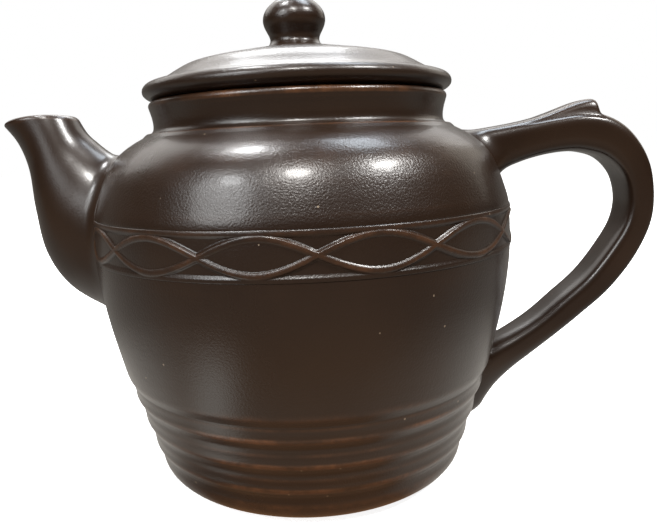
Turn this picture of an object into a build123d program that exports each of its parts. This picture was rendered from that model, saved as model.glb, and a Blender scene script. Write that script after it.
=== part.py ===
from build123d import *
import os
from math import cos, hypot, radians, sin, sqrt

# A hand-built stoneware teapot, in millimetres.  Z is up and the origin is on
# the axis of the pot, in the plane of its foot.  The spout points along -X and
# the handle along +X.  Outlines are drawn in the XZ plane, as radius and height.

# ---- Driving dimensions ----------------------------------------------------

# Thrown body
BODY_HEIGHT = 149.0          # foot to the top of the collar, where the lid sits
BELLY_RADIUS = 81.9          # widest part of the wall, just under the band
BODY_WALL = 5.0
FLOOR_THICKNESS = 5.0
FOOT_RING_RADIUS = 52.5      # outer edge of the flat ring that it stands on
FOOT_RING_WIDTH = 8.0
FOOT_RECESS = 1.6            # how far the underside is hollowed inside the ring
BASE_CORNER_RADIUS = 62.4    # wall radius at the top of the rounded base corner
BASE_CORNER_HEIGHT = 6.3

# Throwing rings on the lower wall
FIRST_GROOVE_HEIGHT = 11.6
FIRST_GROOVE_RADIUS = 63.5
LAST_GROOVE_RADIUS = 72.5
RING_PITCH = 10.3
RING_COUNT = 3
RING_BULGE = 1.1             # how far a ring stands proud of its two grooves

# Shoulder and collar
NECK_RADIUS = 60.2           # edge of the shoulder under the collar
COLLAR_HEIGHT = 12.6         # from that edge up to the seat of the lid
COLLAR_WAIST_RADIUS = 56.8
COLLAR_LIP_RADIUS = 58.2
COLLAR_LIP_ROUND = 2.6
MOUTH_RADIUS = 52.4
MOUTH_EDGE_ROUND = 1.0

# Applied band of two crossing cords between two beads
BAND_HEIGHT = 15.9
BAND_CENTRE_HEIGHT = 98.8
BAND_SEAT_DEPTH = 0.4        # how far the band is let into the wall
BAND_THICKNESS = 0.5
CORD_RADIUS = 0.9           # also how far the cords stand proud of the band
BEAD_RADIUS = 0.8
CORD_WAVES = 7               # whole waves of each cord round the pot
CROSSING_ANGLE = 3.0         # one crossing, in degrees from the front towards +X

# Spout
SPOUT_ROOT_WIDTH = 48.0
SPOUT_MOUTH_WIDTH = 22.5
SPOUT_WALL = 3.2
STRAINER_PERCENT = 71.0      # middle of the pierced patch behind the spout, in percent
                             # of the neck height, as for the spout itself
STRAINER_TALL = 50.0
STRAINER_WIDE = 36.0
STRAINER_HOLE = 5.0
STRAINER_PITCH = 8.6

# Handle
HANDLE_WIDTH = 19.0
SPUR_SHOULDER = 2.0          # how far the spur is set in from each side

# Lid
LID_RADIUS = 60.1
LID_WALL = 4.6
LID_RIM_THICKNESS = 6.6      # from the seat to the top of the rolled rim
LID_STEP_RADIUS = 43.0       # where the flaring rim meets the low dome
LID_STEP_HEIGHT = 13.3
LID_DOME_HEIGHT = 19.4       # seat to the flat under the knob
LID_CLEARANCE = 1.2          # gap all round between the locating ring and mouth
LOCATING_RING_DEPTH = 10.5
LOCATING_RING_WALL = 4.7
VENT_HOLE = 3.2
VENT_RADIUS = 30.0           # how far the steam hole is from the axis

# Knob
KNOB_BASE_RADIUS = 12.0
KNOB_NECK_RADIUS = 9.6
KNOB_RADIUS = 12.2
KNOB_HEIGHT = 19.5

# ---- Places worked out from them -------------------------------------------

NECK_HEIGHT = BODY_HEIGHT - COLLAR_HEIGHT
FLOOR_HEIGHT = FOOT_RECESS + FLOOR_THICKNESS
BAND_BOTTOM = BAND_CENTRE_HEIGHT - BAND_HEIGHT / 2
BAND_TOP = BAND_CENTRE_HEIGHT + BAND_HEIGHT / 2
BAND_SEAT_RADIUS = BELLY_RADIUS - BAND_SEAT_DEPTH
BAND_FACE_RADIUS = BAND_SEAT_RADIUS + BAND_THICKNESS
LAST_GROOVE_HEIGHT = FIRST_GROOVE_HEIGHT + RING_COUNT * RING_PITCH
KNOB_SEAT_HEIGHT = BODY_HEIGHT + LID_DOME_HEIGHT
LOCATING_RING_RADIUS = MOUTH_RADIUS - LID_CLEARANCE
LOCATING_RING_BORE = LOCATING_RING_RADIUS - LOCATING_RING_WALL


def at(radius, height):
    """A point of an outline in the XZ plane."""
    return Vector(radius, 0, height)


def wall_radius(height):
    """The wall's radius at a height, up to the belly; the belly's radius above it."""
    corners = ((FIRST_GROOVE_HEIGHT, FIRST_GROOVE_RADIUS), (LAST_GROOVE_HEIGHT, LAST_GROOVE_RADIUS),
               (BAND_BOTTOM, BELLY_RADIUS))
    if height >= BAND_BOTTOM:
        return BELLY_RADIUS
    low, high = corners[:2] if height < LAST_GROOVE_HEIGHT else corners[1:]
    share = (height - low[0]) / (high[0] - low[0])
    return low[1] + (high[1] - low[1]) * share


def beside_body(out, percent):
    """A point so far out from the wall, at a percentage of the neck height."""
    height = NECK_HEIGHT * percent / 100
    return at(wall_radius(height) + out, height)


def curve(points, start, end):
    """A smooth curve through points that leaves and arrives along two directions."""
    return Spline(*points, tangents=(at(*start), at(*end)))


def turned(edges):
    """The solid that a closed outline makes when it is turned about the axis."""
    return revolve(Face(Wire(edges)), axis=Axis.Z)


def slab(edges, width):
    """A closed outline in the XZ plane, given a width along Y about the middle."""
    near_side = Pos(0, -width / 2, 0) * Face(Wire(edges))
    return extrude(near_side, amount=width, dir=(0, 1, 0))


def shoulder_points():
    """The round shoulder, from the top of the band to the edge under the collar."""
    rise = NECK_HEIGHT - BAND_TOP
    run = BAND_SEAT_RADIUS - NECK_RADIUS
    shares = ((0, 0), (0.18, 0.40), (0.43, 0.71), (0.74, 0.89), (1, 1))
    return [at(BAND_SEAT_RADIUS - run * inward, BAND_TOP + rise * up) for inward, up in shares]


def inset(points, depth):
    """Points moved towards the axis, square to the line through their neighbours."""
    moved = []
    for before, point, after in zip(points, points[1:], points[2:]):
        run = after.X - before.X
        rise = after.Z - before.Z
        length = hypot(run, rise)
        moved.append(at(point.X - depth * rise / length, point.Z + depth * run / length))
    return moved


def throwing_rings():
    """Shallow rounded rings left on the lower wall, one above the other."""
    flare = (LAST_GROOVE_RADIUS - FIRST_GROOVE_RADIUS) / RING_COUNT
    rings = []
    for ring in range(RING_COUNT):
        low = at(FIRST_GROOVE_RADIUS + flare * ring, FIRST_GROOVE_HEIGHT + RING_PITCH * ring)
        high = low + at(flare, RING_PITCH)
        crest = (low + high) / 2 + at(RING_BULGE, 0)
        rings.append(ThreePointArc(low, crest, high))
    return rings


def body_envelope():
    """The body as a solid lump, with its true outside."""
    base_corner = curve(
        (at(FOOT_RING_RADIUS, 0), at(BASE_CORNER_RADIUS, BASE_CORNER_HEIGHT),
         at(FIRST_GROOVE_RADIUS, FIRST_GROOVE_HEIGHT)), (1, 0), (0, 1))
    belly = curve(
        (at(LAST_GROOVE_RADIUS, LAST_GROOVE_HEIGHT), at(BELLY_RADIUS, BAND_BOTTOM)),
        (0.32, 1), (0.04, 1))
    band_seat = at(BAND_SEAT_RADIUS, BAND_BOTTOM)
    shoulder = shoulder_points()
    waist = at(COLLAR_WAIST_RADIUS, NECK_HEIGHT + 3.2)
    collar_side = at(COLLAR_LIP_RADIUS, BODY_HEIGHT - COLLAR_LIP_ROUND)
    collar_top = at(COLLAR_LIP_RADIUS - COLLAR_LIP_ROUND, BODY_HEIGHT)
    return turned([
        Line(at(0, 0), at(FOOT_RING_RADIUS, 0)),
        base_corner,
        *throwing_rings(),
        belly,
        Line(at(BELLY_RADIUS, BAND_BOTTOM), band_seat),
        Line(band_seat, shoulder[0]),
        curve(shoulder, (-0.12, 1), (-1, 0.5)),
        curve((shoulder[-1], waist), (-1, 0.1), (0.05, 1)),
        curve((waist, collar_side), (0.05, 1), (0, 1)),
        curve((collar_side, collar_top), (0, 1), (-1, 0)),
        Line(collar_top, at(0, BODY_HEIGHT)),
        Line(at(0, BODY_HEIGHT), at(0, 0)),
    ])


def body_hollow():
    """The space inside the body, one wall in from the outside."""
    floor_edge = at(FIRST_GROOVE_RADIUS - BODY_WALL - 9, FLOOR_HEIGHT)
    wall = [
        floor_edge,
        at(FIRST_GROOVE_RADIUS - BODY_WALL + 0.8, FLOOR_HEIGHT + 9),
        at(LAST_GROOVE_RADIUS - BODY_WALL, LAST_GROOVE_HEIGHT),
        at(BELLY_RADIUS - BODY_WALL - 0.2, BAND_BOTTOM),
        *inset(shoulder_points(), BODY_WALL),
        at(MOUTH_RADIUS, NECK_HEIGHT + 1.5),
    ]
    mouth_side = at(MOUTH_RADIUS, BODY_HEIGHT - MOUTH_EDGE_ROUND)
    mouth_top = at(MOUTH_RADIUS + MOUTH_EDGE_ROUND, BODY_HEIGHT)
    return turned([
        Line(at(0, FLOOR_HEIGHT), floor_edge),
        curve(wall, (1, 0), (0, 1)),
        Line(wall[-1], mouth_side),
        curve((mouth_side, mouth_top), (0, 1), (1, 0)),
        Line(mouth_top, at(0, BODY_HEIGHT)),
        Line(at(0, BODY_HEIGHT), at(0, FLOOR_HEIGHT)),
    ])


def foot_recess():
    """The shallow hollow turned into the underside, inside the foot ring."""
    radius = FOOT_RING_RADIUS - FOOT_RING_WIDTH
    return Pos(0, 0, FOOT_RECESS / 2) * Cylinder(radius, FOOT_RECESS)


def strainer_holes():
    """Round holes through the wall behind the spout, in staggered rows."""
    middle = beside_body(-2 * BODY_WALL, STRAINER_PERCENT)
    row_pitch = STRAINER_PITCH * sqrt(3) / 2
    rows = int(STRAINER_TALL / 2 / row_pitch)
    drill = Rot(0, 90, 0) * Cylinder(STRAINER_HOLE / 2, 8 * BODY_WALL)
    holes = []
    for row in range(-rows, rows + 1):
        up = row * row_pitch
        reach = STRAINER_WIDE / 2 * sqrt(1 - (2 * up / STRAINER_TALL) ** 2)
        stagger = STRAINER_PITCH / 2 if row % 2 else 0
        steps = int(STRAINER_WIDE / STRAINER_PITCH) + 1
        for step in range(-steps, steps + 1):
            across = step * STRAINER_PITCH + stagger
            if abs(across) <= reach - STRAINER_HOLE / 4:
                holes.append(Pos(-middle.X, across, middle.Z + up) * drill)
    return holes


def pot_body(envelope):
    """The thrown body: hollow, open at the collar and pierced for the spout."""
    return envelope - body_hollow() - foot_recess() - strainer_holes()


# The two outlines of the spout seen from the side, from inside the wall to just
# past the mouth, as distances out from the wall and percentages of the neck height.
SPOUT_UNDERSIDE = ((-6.2, 45.1), (16.5, 56.5), (22.8, 66.6), (26.2, 79.5), (27.8, 93.0), (37.3, 107.2))
SPOUT_TOPSIDE = ((-21.9, 88.7), (-9.0, 94.6), (-5.4, 96.2), (-0.7, 99.1), (3.4, 102.3), (8.4, 109.8))
SPOUT_SPANS = 6


def oval(half_height, half_width):
    """An oval face in two halves, each from the low end to the high end or back."""
    halves = []
    for begin in (0, 180):
        turns = [radians(begin + step * 15) for step in range(13)]
        halves.append(Spline(*[(half_height * cos(a), half_width * sin(a)) for a in turns]))
    return Face(Wire(halves))


def spout_tube(inward):
    """The spout's outside, or what is so far inward of it, past its mouth."""
    underside = Spline(*[beside_body(*point) for point in SPOUT_UNDERSIDE])
    topside = Spline(*[beside_body(*point) for point in SPOUT_TOPSIDE])
    ovals = []
    for station in range(SPOUT_SPANS + 1):
        share = station / SPOUT_SPANS
        low_end = underside @ share
        high_end = topside @ share
        across = high_end - low_end
        flare = (SPOUT_ROOT_WIDTH - SPOUT_MOUTH_WIDTH) * (1 - share) ** 1.25
        half_width = (SPOUT_MOUTH_WIDTH + flare) / 2
        plane = Plane(
            origin=(low_end + high_end) / 2, x_dir=across, z_dir=across.cross(Vector(0, 1, 0)))
        ovals.append(plane * oval(across.length / 2 - inward, half_width - inward))
    return mirror(loft(ovals), about=Plane.YZ)


def above_spout_mouth():
    """Everything above the drooping, slightly arched rim of the spout."""
    tip = beside_body(36.1, 105.1)
    crest = beside_body(21.1, 107.4)
    heel = beside_body(7.3, 107.0)
    past_tip = tip + at(12, -5)
    past_heel = heel + at(-14, -1)
    top = 2 * SPOUT_MOUTH_WIDTH
    rim = [
        Line(past_tip, tip),
        ThreePointArc(tip, crest, heel),
        Line(heel, past_heel),
        Line(past_heel, past_heel + at(0, top)),
        Line(past_heel + at(0, top), past_tip + at(0, top)),
        Line(past_tip + at(0, top), past_tip),
    ]
    return mirror(slab(rim, 3 * SPOUT_MOUTH_WIDTH), about=Plane.YZ)


def ring(inner_radius, outer_radius, height):
    """A plain ring round the axis, at the height of the band."""
    tube = Cylinder(outer_radius, height) - Cylinder(inner_radius, height)
    return Pos(0, 0, BAND_CENTRE_HEIGHT) * tube


def band_pocket(turn, edges):
    """A pocket with this outline, sunk square into the band so far round from the front."""
    angle = radians(turn - 90)
    outward = Vector(cos(angle), sin(angle), 0)
    depth = 4 * CORD_RADIUS
    floor = Plane(origin=outward * (BAND_FACE_RADIUS - depth) + Vector(0, 0, BAND_CENTRE_HEIGHT),
                  x_dir=Vector(-sin(angle), cos(angle), 0), z_dir=outward)
    return extrude(floor * Face(Wire(edges)), amount=2 * depth)


def wave_band(spout_outside):
    """A belt with a bead at each edge and two cords that cross along it.

    The cords and beads stand proud because the pockets between them are sunk:
    an eye between each pair of crossings, and a corner above and below each."""
    crossings = 2 * CORD_WAVES
    step = 360 / crossings
    half_eye = BAND_FACE_RADIUS * sin(radians(step / 2))
    inside_bead = BAND_HEIGHT / 2 - 2 * BEAD_RADIUS
    swing = inside_bead - CORD_RADIUS * 0.7
    corner_share = 1 - sqrt(1 - (inside_bead - CORD_RADIUS) / swing)
    corner_reach = half_eye * corner_share
    corner_middle = swing * (1 - (1 - corner_share / 2) ** 2) + CORD_RADIUS
    eye_reach = half_eye - 2.2 * CORD_RADIUS
    pockets = []
    for crossing in range(crossings):
        turn = CROSSING_ANGLE + crossing * step
        pockets.append(band_pocket(turn + step / 2, [
            ThreePointArc((-eye_reach, 0), (0, swing - CORD_RADIUS), (eye_reach, 0)),
            ThreePointArc((eye_reach, 0), (0, CORD_RADIUS - swing), (-eye_reach, 0)),
        ]))
        for side in (-1, 1):
            point = (0, side * 1.3 * CORD_RADIUS)
            left = (-corner_reach, side * inside_bead)
            right = (corner_reach, side * inside_bead)
            pockets.append(band_pocket(turn, [
                ThreePointArc(point, (-corner_reach / 2, side * corner_middle), left),
                Line(left, right),
                ThreePointArc(right, (corner_reach / 2, side * corner_middle), point),
            ]))
    relief = ring(BAND_FACE_RADIUS, BAND_FACE_RADIUS + CORD_RADIUS, BAND_HEIGHT) - pockets
    belt = ring(BAND_SEAT_RADIUS, BAND_FACE_RADIUS, BAND_HEIGHT)
    return belt + relief - spout_outside


def spout(envelope, spout_outside):
    """The hollow spout, luted to the wall over the strainer holes."""
    return spout_outside - spout_tube(SPOUT_WALL) - envelope - above_spout_mouth()


def handle(envelope):
    """The pulled strap handle, with a spur for the thumb on top."""
    outer = [beside_body(*point) for point in (
        (-17.0, 98.0), (-2.5, 99.3), (8.6, 100.4), (19.7, 101.6), (30.0, 102.3), (37.5, 101.6),
        (44.3, 99.2), (51.8, 94.0), (57.5, 86.4), (59.9, 76.2), (57.0, 65.4), (48.3, 51.5),
        (29.4, 36.9), (14.5, 26.0), (8.5, 18.5), (6.0, 13.9))]
    inner = [beside_body(*point) for point in (
        (-2.5, 31.0), (10.3, 35.6), (21.2, 41.3), (37.5, 53.7), (46.5, 66.2), (49.9, 75.4),
        (47.5, 83.2), (42.5, 87.7), (35.1, 90.5), (26.1, 91.3), (8.1, 89.6), (0.1, 86.5),
        (-3.4, 82.1), (-11.9, 75.5))]
    tail_inside = at(FIRST_GROOVE_RADIUS - 2 * BODY_WALL, outer[-1].Z)
    lower_inside = at(tail_inside.X, inner[0].Z)
    upper_inside = at(NECK_RADIUS - 2 * BODY_WALL, inner[-1].Z)
    top_inside = at(upper_inside.X, outer[0].Z - BODY_WALL)
    strap = slab([
        curve(outer, (1, 0.07), (-0.5, -1)),
        Line(outer[-1], tail_inside),
        Line(tail_inside, lower_inside),
        Line(lower_inside, inner[0]),
        curve(inner, (1, 0.3), (-0.6, -1)),
        Line(inner[-1], upper_inside),
        Line(upper_inside, top_inside),
        Line(top_inside, outer[0]),
    ], HANDLE_WIDTH)
    spur_foot = beside_body(2.0, 97.0)
    spur_top = beside_body(33.0, 106.0)
    spur_end = beside_body(37.2, 101.0)
    spur_heel = beside_body(37.2, 97.0)
    spur = slab([
        curve((spur_foot, beside_body(14.0, 101.4), spur_top), (1, 0.7), (1, 0.2)),
        curve((spur_top, spur_end), (1, 0.2), (0, -1)),
        Line(spur_end, spur_heel),
        Line(spur_heel, spur_foot),
    ], HANDLE_WIDTH - 2 * SPUR_SHOULDER)
    return strap + spur - envelope


def lid():
    """The domed lid: a rolled rim that rests on the collar, hollow below."""
    crown = at(KNOB_BASE_RADIUS, KNOB_SEAT_HEIGHT)
    step = at(LID_STEP_RADIUS, BODY_HEIGHT + LID_STEP_HEIGHT)
    rim_top = at(LID_RADIUS - 3.4, BODY_HEIGHT + LID_RIM_THICKNESS)
    rim_edge = at(LID_RADIUS, BODY_HEIGHT + LID_RIM_THICKNESS * 0.55)
    rim_under = at(LID_RADIUS - 2.6, BODY_HEIGHT + 0.9)
    seat_edge = at(LID_RADIUS - 3.4, BODY_HEIGHT)
    hollow_edge = at(LOCATING_RING_BORE, BODY_HEIGHT)
    hollow_side = at(LOCATING_RING_BORE - 1, BODY_HEIGHT + LID_RIM_THICKNESS - LID_WALL + 1)
    hollow_step = at(LOCATING_RING_BORE - 7.5, step.Z - LID_WALL)
    hollow_top = at(0, KNOB_SEAT_HEIGHT - LID_WALL)
    dome = curve((crown, at(LID_STEP_RADIUS * 0.6, BODY_HEIGHT + 17.0), step), (1, -0.18), (1, -0.6))
    flare = curve((step, rim_top), (1, -0.9), (1, -0.25))
    shell = turned([
        Line(hollow_top, at(0, KNOB_SEAT_HEIGHT)),
        Line(at(0, KNOB_SEAT_HEIGHT), crown),
        dome,
        flare,
        curve((rim_top, rim_edge, rim_under), (1, -0.25), (-1, -0.45)),
        Line(rim_under, seat_edge),
        Line(seat_edge, hollow_edge),
        Line(hollow_edge, hollow_side),
        curve((hollow_side, hollow_step, hollow_top), (-0.5, 1), (-1, 0)),
    ])
    vent = Pos(0, VENT_RADIUS, KNOB_SEAT_HEIGHT) * Cylinder(VENT_HOLE / 2, 4 * LID_WALL)
    return shell - vent


def lid_locating_ring():
    """The ring under the lid that drops into the mouth and keeps the lid in place."""
    ring = Cylinder(LOCATING_RING_RADIUS, LOCATING_RING_DEPTH)
    ring -= Cylinder(LOCATING_RING_BORE, LOCATING_RING_DEPTH)
    ring = fillet(ring.edges().group_by(Axis.Z)[0], LOCATING_RING_WALL * 0.3)
    return Pos(0, 0, BODY_HEIGHT - LOCATING_RING_DEPTH / 2) * ring


def lid_knob():
    """The round knob, waisted where it joins the lid."""
    foot = at(KNOB_BASE_RADIUS, KNOB_SEAT_HEIGHT)
    neck = at(KNOB_NECK_RADIUS, KNOB_SEAT_HEIGHT + KNOB_HEIGHT * 0.15)
    widest = at(KNOB_RADIUS, KNOB_SEAT_HEIGHT + KNOB_HEIGHT * 0.52)
    top = at(0, KNOB_SEAT_HEIGHT + KNOB_HEIGHT)
    return turned([
        Line(at(0, KNOB_SEAT_HEIGHT), foot),
        curve((foot, neck), (-1, 0.5), (0.05, 1)),
        curve((neck, widest), (0.05, 1), (0, 1)),
        curve((widest, top), (0, 1), (-1, 0)),
        Line(top, at(0, KNOB_SEAT_HEIGHT)),
    ])


def main():
    envelope = body_envelope()
    spout_outside = spout_tube(0)
    pieces = {
        "pot_body": pot_body(envelope),
        "wave_band": wave_band(spout_outside),
        "spout": spout(envelope, spout_outside),
        "handle": handle(envelope),
        "lid": lid(),
        "lid_locating_ring": lid_locating_ring(),
        "lid_knob": lid_knob(),
    }
    os.makedirs("parts", exist_ok=True)
    for name, piece in pieces.items():
        export_step(piece, f"parts/{name}.step")


main()
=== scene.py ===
from math import cos, pi, radians, sin, sqrt

import bmesh
import bpy
import numpy as np
from mathutils import Matrix, Vector


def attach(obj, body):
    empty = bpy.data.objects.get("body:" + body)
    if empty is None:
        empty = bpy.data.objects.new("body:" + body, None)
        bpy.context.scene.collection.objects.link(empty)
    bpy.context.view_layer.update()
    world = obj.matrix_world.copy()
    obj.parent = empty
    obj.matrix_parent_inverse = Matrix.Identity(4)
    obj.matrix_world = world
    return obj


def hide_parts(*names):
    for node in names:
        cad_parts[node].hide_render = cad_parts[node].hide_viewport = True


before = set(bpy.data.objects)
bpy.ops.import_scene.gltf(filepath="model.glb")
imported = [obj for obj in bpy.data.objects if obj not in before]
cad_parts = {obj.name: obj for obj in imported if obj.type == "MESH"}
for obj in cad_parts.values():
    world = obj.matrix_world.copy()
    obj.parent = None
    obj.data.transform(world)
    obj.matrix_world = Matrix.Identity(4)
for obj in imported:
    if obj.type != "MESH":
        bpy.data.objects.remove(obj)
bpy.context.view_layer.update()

# A glazed stoneware teapot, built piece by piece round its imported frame.
# Outlines are written in millimetres and turned into metres as they are built.
# Z is up, the spout points along -X and the handle along +X.

MM = 0.001

# ---- Lines and skins ---------------------------------------------------------


def through(points, count):
    """A smooth line through points, as so many evenly spaced places along it.

    Each gap between points is a cubic; close points get shorter gaps, so tight bends stay tight."""
    points = np.array(points, float)
    steps = np.sqrt(np.linalg.norm(np.diff(points, axis=0), axis=1))
    knots = np.concatenate(([0], np.cumsum(steps)))
    slopes = np.gradient(points, knots, axis=0)
    fine = np.linspace(0, knots[-1], 60 * len(points))
    span = np.clip(np.searchsorted(knots, fine, side="right") - 1, 0, len(steps) - 1)
    width = steps[span][:, None]
    t = (fine - knots[span])[:, None] / width
    line = points[span] * (2 * t**3 - 3 * t**2 + 1)
    line += points[span + 1] * (3 * t**2 - 2 * t**3)
    line += slopes[span] * width * (t**3 - 2 * t**2 + t)
    line += slopes[span + 1] * width * (t**3 - t**2)
    run = np.concatenate(([0], np.cumsum(np.linalg.norm(np.diff(line, axis=0), axis=1))))
    even = np.linspace(0, run[-1], count)
    return np.column_stack([np.interp(even, run, line[:, k]) for k in range(points.shape[1])])


def soft_step(low, high, value):
    """0 below low, 1 above high and a smooth rise between."""
    share = np.clip((value - low) / (high - low), 0, 1)
    return share * share * (3 - 2 * share)


def skin(name, rows, closed=False, capped=(False, False), thin=None):
    """A mesh over rows of points in millimetres; each row runs round and joins its own start.

    closed joins the last row to the first, and capped closes the first or last row with a
    fan. thin says, for each point, how much rust shows there, from 0 to 1: where the glaze
    has run thin, and on turned pieces also a painted reflection towards the front. Nothing
    reaches below the table."""
    rows = np.array(rows, float) * MM
    rows[..., 2] = np.maximum(rows[..., 2], 0)
    count, around = rows.shape[:2]
    points = rows.reshape(-1, 3)
    here = np.arange(around)
    after = (here + 1) % around
    faces = []
    for row in range(count if closed else count - 1):
        low = row * around
        high = ((row + 1) % count) * around
        faces.extend(np.column_stack((low + here, low + after, high + after, high + here)).tolist())
    thinness = np.zeros(len(points)) if thin is None else np.asarray(thin, float).reshape(-1)
    for end, wanted in zip((0, count - 1), capped):
        if wanted:
            middle = len(points)
            ring = end * around
            points = np.vstack((points, rows[end].mean(0)))
            thinness = np.append(thinness, thinness[ring])
            faces.extend([[ring + a, ring + b, middle] for a, b in zip(here, after)])
    mesh = bpy.data.meshes.new(name)
    mesh.from_pydata(points.tolist(), [], faces)
    mesh.attributes.new("thin", "FLOAT", "POINT").data.foreach_set(
        "value", thinness.astype(np.float32))
    work = bmesh.new()
    work.from_mesh(mesh)
    bmesh.ops.recalc_face_normals(work, faces=work.faces)
    work.to_mesh(mesh)
    work.free()
    mesh.shade_smooth()
    piece = bpy.data.objects.new(name, mesh)
    bpy.context.scene.collection.objects.link(piece)
    return piece


# Crest rust shows strongest a little to the handle side of the front, measured here from +X: there
# it carries a painted reflection of the warm table.
PAINTED_REFLECTION_TURN = radians(-84)
RUST_AWAY_FROM_REFLECTION = 0.3         # how much crest rust shows elsewhere, against the painted side
PAINTED_REFLECTION_EDGE = 0.72             # cosine of the angle off the painted side where the painted reflection starts
PAINTED_REFLECTION_FULL = 0.88             # and where it is full


def turned(name, profile, segments, thin=None, capped=(True, True), closed=False, sway=0.0):
    """A piece thrown on the wheel from (radius, height) pairs, with a faint hand-made sway."""
    profile = np.array(profile, float)
    angles = np.linspace(0, 2 * pi, segments, endpoint=False)
    radius, height = profile[:, 0][:, None], profile[:, 1][:, None]
    lean = np.sin(2 * angles + 0.7 + height / 31) + 0.6 * np.sin(3 * angles + 2.1 - height / 23)
    radius = radius - sway * (1.6 + lean) * np.clip(radius / 60, 0, 1)
    rows = np.stack((radius * np.cos(angles), radius * np.sin(angles),
                     np.repeat(height, segments, axis=1)), axis=2)
    if thin is not None:
        # Painted reflection: the crest rust is raised towards the front, in place of the warm
        # table's reflection there.
        facing = soft_step(PAINTED_REFLECTION_EDGE, PAINTED_REFLECTION_FULL, np.cos(angles - PAINTED_REFLECTION_TURN))
        run = RUST_AWAY_FROM_REFLECTION + (1 - RUST_AWAY_FROM_REFLECTION) * facing
        thin = np.array(thin, float)[:, None] * run
    return skin(name, rows, closed, capped, thin)


def crest_thinness(profile, gain):
    """How sharply a profile bulges outward at each point, as a share from 0 to 1."""
    profile = np.array(profile, float)
    before, after = np.roll(profile, 2, axis=0), np.roll(profile, -2, axis=0)
    along = after - before
    length = np.maximum(np.linalg.norm(along, axis=1), 1e-6)
    middle = (before + after) / 2
    outward = np.column_stack((along[:, 1], -along[:, 0])) / length[:, None]
    bulge = ((profile - middle) * outward).sum(1) / length**2
    bulge[:2] = 0
    bulge[-2:] = 0
    return np.clip(bulge * gain, 0, 1)


def bored(piece, drills):
    """Cuts round holes through the piece with these drills, which are then gone."""
    cut = piece.modifiers.new("bore", "BOOLEAN")
    cut.operation = "DIFFERENCE"
    cut.solver = "EXACT"
    cut.object = drills
    bpy.context.view_layer.update()
    graph = bpy.context.evaluated_depsgraph_get()
    mesh = bpy.data.meshes.new_from_object(piece.evaluated_get(graph))
    piece.modifiers.clear()
    piece.data = mesh
    bpy.data.objects.remove(drills)


def drill_bits(places, radius, length, direction):
    """One mesh of round bits at these places, all pointing the same way, in millimetres."""
    work = bmesh.new()
    turn = Vector((0, 0, 1)).rotation_difference(Vector(direction)).to_matrix().to_4x4()
    for place in places:
        bmesh.ops.create_cone(work, cap_ends=True, segments=28, radius1=radius * MM,
                              radius2=radius * MM, depth=length * MM,
                              matrix=Matrix.Translation(Vector(place) * MM) @ turn)
    mesh = bpy.data.meshes.new("drill_bits")
    work.to_mesh(mesh)
    work.free()
    bits = bpy.data.objects.new("drill_bits", mesh)
    bpy.context.scene.collection.objects.link(bits)
    return bits


# ---- The thrown body -----------------------------------------------------------

RING_COUNT = 3
RING_PITCH = 10.3
FIRST_GROOVE = 11.2
LAST_GROOVE = FIRST_GROOVE + RING_COUNT * RING_PITCH
FIRST_GROOVE_RADIUS = 63.45
LAST_GROOVE_RADIUS = 72.5
BAND_CENTRE = 98.8
BAND_HALF = 7.95
BAND_SEAT = 1.1             # how deep the body is cut back where the band lies on it

# Points along each stretch of the outline.
FOOT_STEPS = 40
RING_STEPS = 140
BELLY_STEPS = 170
COLLAR_STEPS = 64
INSIDE_STEPS = 110

FOOT = [(44.2, 1.6), (44.9, 0.5), (46.2, 0.0), (51.6, 0.0), (54.8, 0.6), (58.3, 2.3),
        (60.8, 4.1), (62.5, 6.4), (63.3, 8.8), (63.4, 11.1)]
BELLY = [(72.6, 42.2), (73.2, 43.3), (74.3, 45.3), (75.2, 48.6), (76.5, 54.2), (78.7, 64.4),
         (80.5, 75.0), (81.6, 85.5), (81.8, 90.4), (81.6, 98.8), (81.15, 107.2), (80.7, 109.3),
         (79.8, 112.2), (78.3, 116.6), (76.6, 120.9), (74.4, 125.0), (71.9, 128.2),
         (68.4, 131.3), (64.4, 133.9), (61.2, 135.6)]
COLLAR = [(60.3, 136.5), (59.6, 137.0), (58.2, 137.2), (57.1, 138.3), (56.8, 140.4),
          (57.2, 143.4), (57.9, 146.0), (58.2, 147.4), (57.7, 148.5), (56.4, 149.0),
          (54.2, 149.0), (52.9, 148.5), (52.4, 147.4)]
INSIDE = [(52.4, 144.0), (52.5, 139.2), (54.6, 135.4), (60.6, 131.6), (67.4, 126.2),
          (72.3, 119.6), (75.4, 111.0), (76.6, 98.8), (76.4, 85.5), (73.7, 64.4),
          (67.9, 43.3), (62.6, 25.0), (58.6, 13.5), (55.2, 8.8), (50.0, 6.9), (42.0, 6.6)]


RING_SWELL = 0.15           # the long wave of a ring, as a share of its step out
RING_BITE = 0.05            # the short wave that sharpens its groove
RING_DELAY = 0.30           # how far up a ring its long wave starts


def ring_wave(share):
    """How far a ring leans out of an even flare, over its height from 0 to 1."""
    turn = 2 * pi * (share - RING_DELAY)
    return RING_SWELL * np.sin(turn) + RING_BITE * np.sin(2 * turn)


def ringed_wall():
    """The lower wall with its stepped throwing rings, as (radius, height) pairs.

    Each ring swells out above its groove, then stands more upright."""
    heights = np.linspace(FIRST_GROOVE, LAST_GROOVE, RING_STEPS)
    rings = (heights - FIRST_GROOVE) / RING_PITCH
    step = (LAST_GROOVE_RADIUS - FIRST_GROOVE_RADIUS) / RING_COUNT
    climb = rings + ring_wave(rings) - ring_wave(0)
    return np.column_stack((FIRST_GROOVE_RADIUS + step * climb, heights))


UNDERSIDE = [(0.6, 1.6), (22.0, 1.6), (42.5, 1.6)]
INNER_FLOOR = [(30.0, 6.6), (15.0, 6.6), (0.6, 6.6)]

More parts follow.
